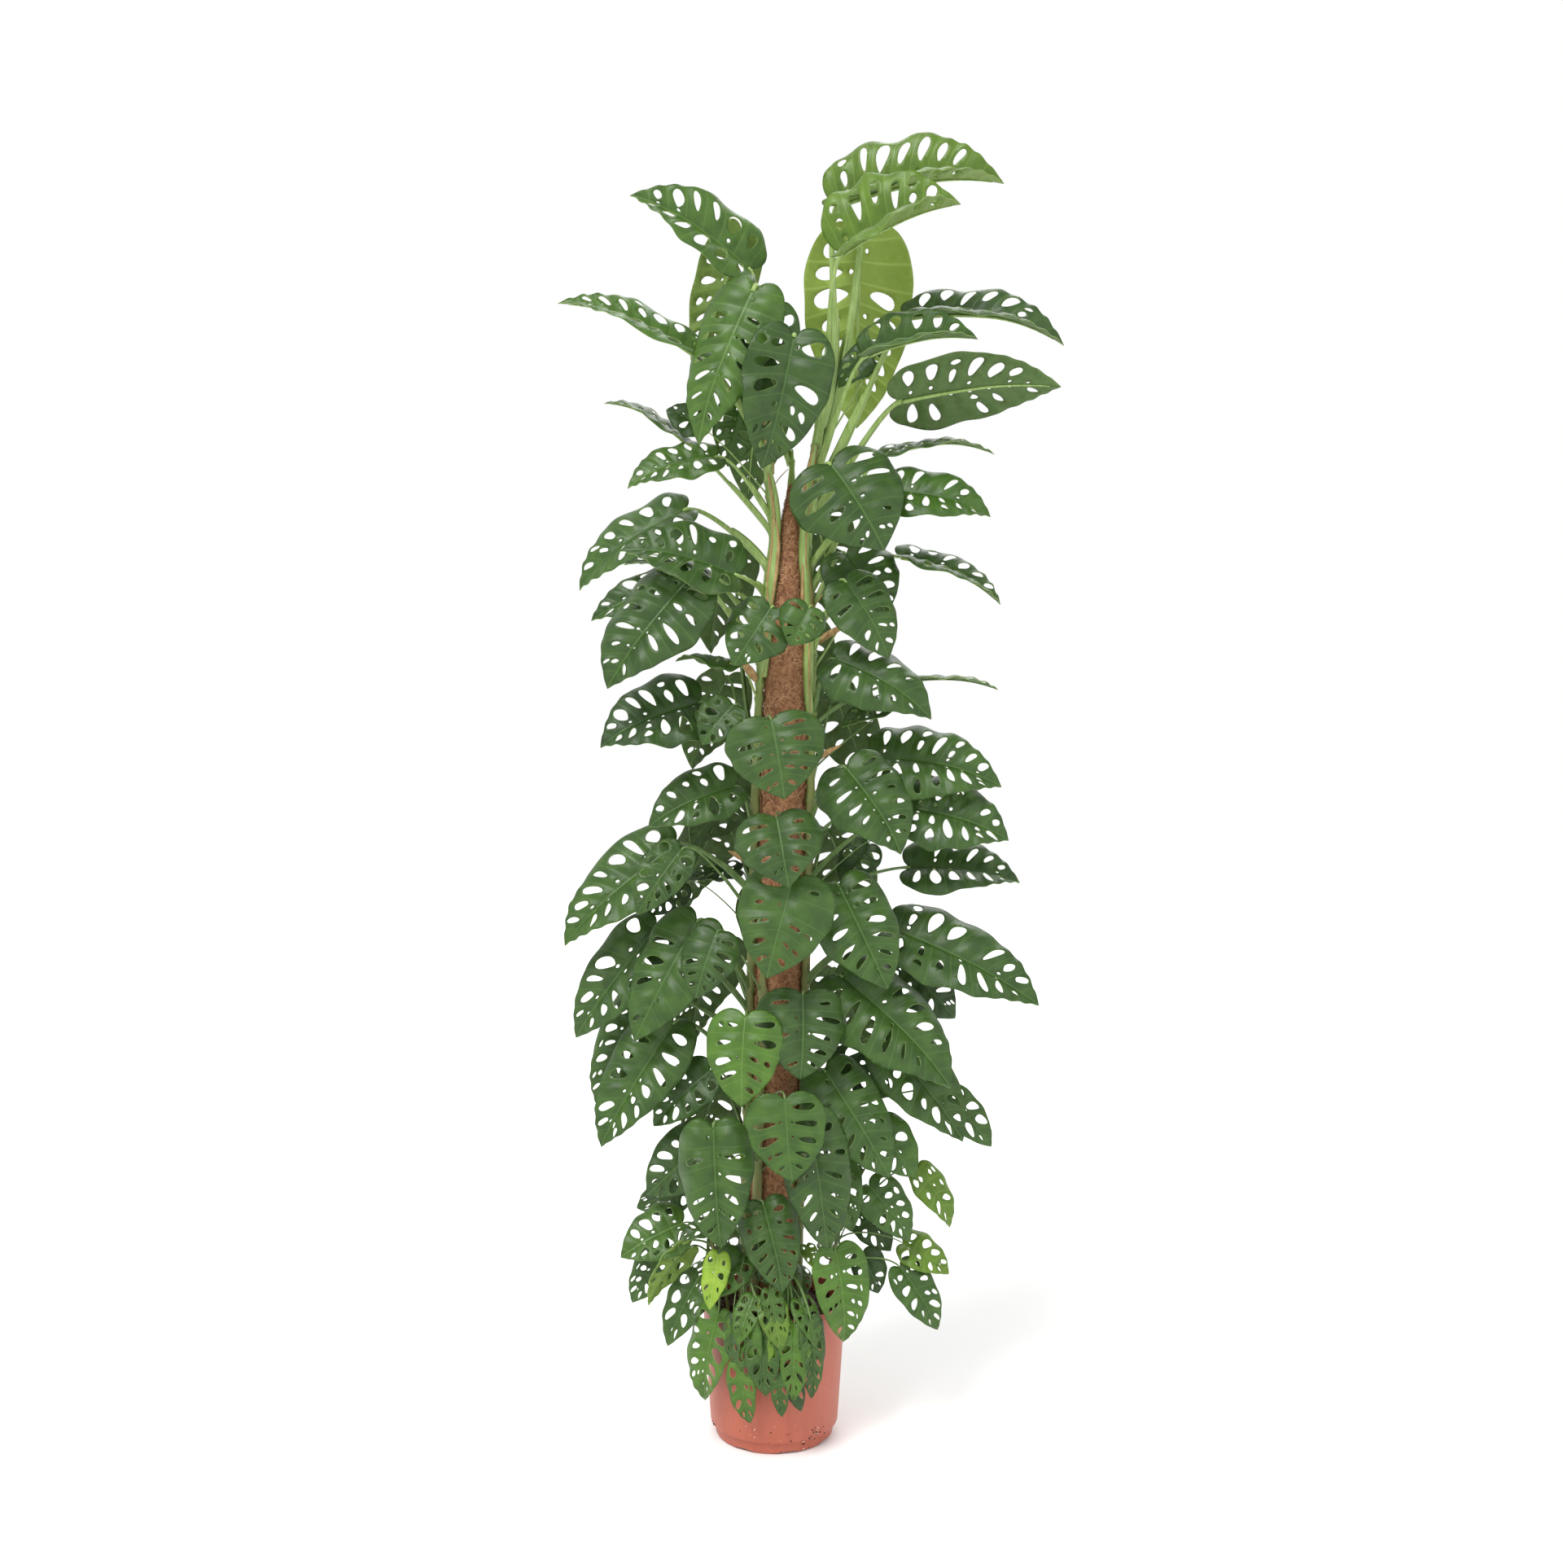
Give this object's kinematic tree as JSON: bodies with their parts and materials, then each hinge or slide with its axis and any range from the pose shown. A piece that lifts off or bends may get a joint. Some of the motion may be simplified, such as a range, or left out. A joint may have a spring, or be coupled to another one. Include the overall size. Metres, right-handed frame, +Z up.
{
  "type": "potted climbing houseplant",
  "caption": "Swiss-cheese monstera with holed leaves on long petioles, climbing a coir moss pole in a round plastic nursery pot",
  "frame": {"origin": "Centre of the pot's flat underside, on the floor", "axes": "+Z up along the pot's axis, -Y the front the plant faces, +X the plant's right side as seen from the front"},
  "size_m": [0.685, 0.323, 1.8051],
  "materials": {
    "coir": "matte",
    "leaf_dark": "satin",
    "leaf_fresh": "satin",
    "leaf_lime": "satin",
    "leaf_mid": "satin",
    "leaf_young": "satin",
    "pot_plastic": "satin",
    "soil": "matte",
    "stake_wood": "matte",
    "stem": "satin"
  },
  "bodies": {
    "root": {"coir_sleeve": "coir", "leaf_base_01": "leaf_mid", "leaf_base_02": "leaf_mid", "leaf_crown_01": "leaf_young", "leaf_crown_02": "leaf_young", "leaf_crown_03": "leaf_fresh", "leaf_crown_04": "leaf_young", "leaf_crown_05": "leaf_lime", "leaf_crown_06": "leaf_fresh", "leaf_crown_07": "leaf_fresh", "leaf_crown_08": "leaf_dark", "leaf_crown_09": "leaf_mid", "leaf_crown_10": "leaf_mid", "leaf_crown_11": "leaf_mid", "leaf_crown_12": "leaf_mid", "leaf_lower_01": "leaf_mid", "leaf_lower_02": "leaf_mid", "leaf_lower_03": "leaf_mid", "leaf_lower_04": "leaf_mid", "leaf_lower_05": "leaf_mid", "leaf_lower_06": "leaf_fresh", "leaf_lower_07": "leaf_mid", "leaf_lower_08": "leaf_mid", "leaf_lower_09": "leaf_mid", "leaf_lower_10": "leaf_mid", "leaf_lower_11": "leaf_mid", "leaf_middle_01": "leaf_mid", "leaf_middle_02": "leaf_mid", "leaf_middle_03": "leaf_mid", "leaf_middle_04": "leaf_mid", "leaf_middle_05": "leaf_mid", "leaf_middle_06": "leaf_mid", "leaf_middle_07": "leaf_mid", "leaf_middle_08": "leaf_mid", "leaf_middle_09": "leaf_fresh", "leaf_middle_10": "leaf_mid", "leaf_upper_01": "leaf_mid", "leaf_upper_02": "leaf_mid", "leaf_upper_03": "leaf_mid", "leaf_upper_04": "leaf_dark", "leaf_upper_05": "leaf_mid", "leaf_upper_06": "leaf_mid", "leaf_upper_07": "leaf_mid", "leaf_upper_08": "leaf_mid", "pole_stake": "stake_wood", "pot": "pot_plastic", "shoot_front_left": "stem", "shoot_front_right": "stem", "shoot_left": "stem", "shoot_rear": "stem", "shoot_right": "stem", "soil": "soil", "vine_front": "stem", "vine_left": "stem", "vine_rear": "stem", "vine_rear_left": "stem", "vine_rear_right": "stem", "vine_right": "stem"}
  },
  "joints": []
}
